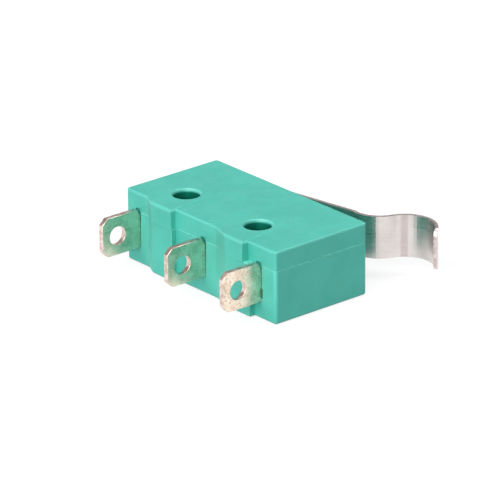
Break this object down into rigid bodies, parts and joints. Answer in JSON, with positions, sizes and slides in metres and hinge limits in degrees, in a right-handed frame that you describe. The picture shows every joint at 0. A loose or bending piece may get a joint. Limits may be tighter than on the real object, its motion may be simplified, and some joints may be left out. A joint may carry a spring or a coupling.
{
  "type": "lever limit switch",
  "caption": "Sub-miniature snap-action limit switch: flat green housing, bent steel lever with a rolled nose, solder terminals along the opposite edge.",
  "frame": {"origin": "midway between the two mounting holes, on the lower broad face of the case", "axes": "+X along the body towards the free end of the lever, +Y from the terminals to the lever, +Z through the mounting holes from the case to the cover"},
  "size_m": [0.0226, 0.0214, 0.0066],
  "materials": {
    "case_green": "moulded, satin",
    "cover_green": "moulded, satin",
    "plunger_plastic": "moulded, smooth",
    "lever_steel": "rolled stainless strip",
    "pin_steel": "ground",
    "terminal_tin": "tinned, slightly speckled",
    "contact_silver": "silver alloy, plain",
    "spring_bronze": "copper-alloy strip",
    "spring_wire": "drawn wire"
  },
  "bodies": {
    "housing": {"case": "case_green", "cover": "cover_green", "hinge_pin": "pin_steel", "common_terminal": "terminal_tin", "normally_open_terminal": "terminal_tin", "normally_closed_terminal": "terminal_tin", "normally_open_contact": "contact_silver", "normally_closed_contact": "contact_silver"},
    "lever": {"lever": "lever_steel"},
    "button": {"plunger": "plunger_plastic"},
    "leaf": {"actuating_leaf": "spring_bronze"},
    "contact_carrier": {"contact_arm": "spring_bronze", "moving_contact": "contact_silver"},
    "spring": {"snap_spring": "spring_wire"}
  },
  "joints": [
    {"name": "lever_hinge", "type": "hinge", "parent": "housing", "child": "lever", "pos_m": [-0.00775, 0.0066, 0.00332], "axis": [0, 0, -1], "range_deg": [0, 11], "stiffness_Nm_per_rad": 0.04, "springref_deg": -5.73},
    {"name": "plunger_slide", "type": "slide", "parent": "housing", "child": "button", "axis": [0, -1, 0], "range_m": [0, 0.0009828]},
    {"name": "leaf_hinge", "type": "hinge", "parent": "housing", "child": "leaf", "pos_m": [-0.008, 0.0038, 0.00308], "axis": [0, 0, -1], "range_deg": [0, 10.6]},
    {"name": "arm_hinge", "type": "hinge", "parent": "housing", "child": "contact_carrier", "pos_m": [-0.001, 0.0038, 0.00308], "axis": [0, 0, -1], "range_deg": [0, 3.6]},
    {"name": "spring_hook", "type": "hinge", "parent": "contact_carrier", "child": "spring", "pos_m": [0.0048, 0.00398, 0.00308], "axis": [0, 0, 1], "range_deg": [0, 9.97]}
  ],
  "couplings": [
    {"joint": "plunger_slide", "follows": "lever_hinge", "m_per_rad": 0.0051191},
    {"joint": "leaf_hinge", "follows": "lever_hinge", "ratio": 0.96364},
    {"joint": "arm_hinge", "follows": "lever_hinge", "ratio": 0.32727},
    {"joint": "spring_hook", "follows": "lever_hinge", "ratio": 0.906}
  ]
}
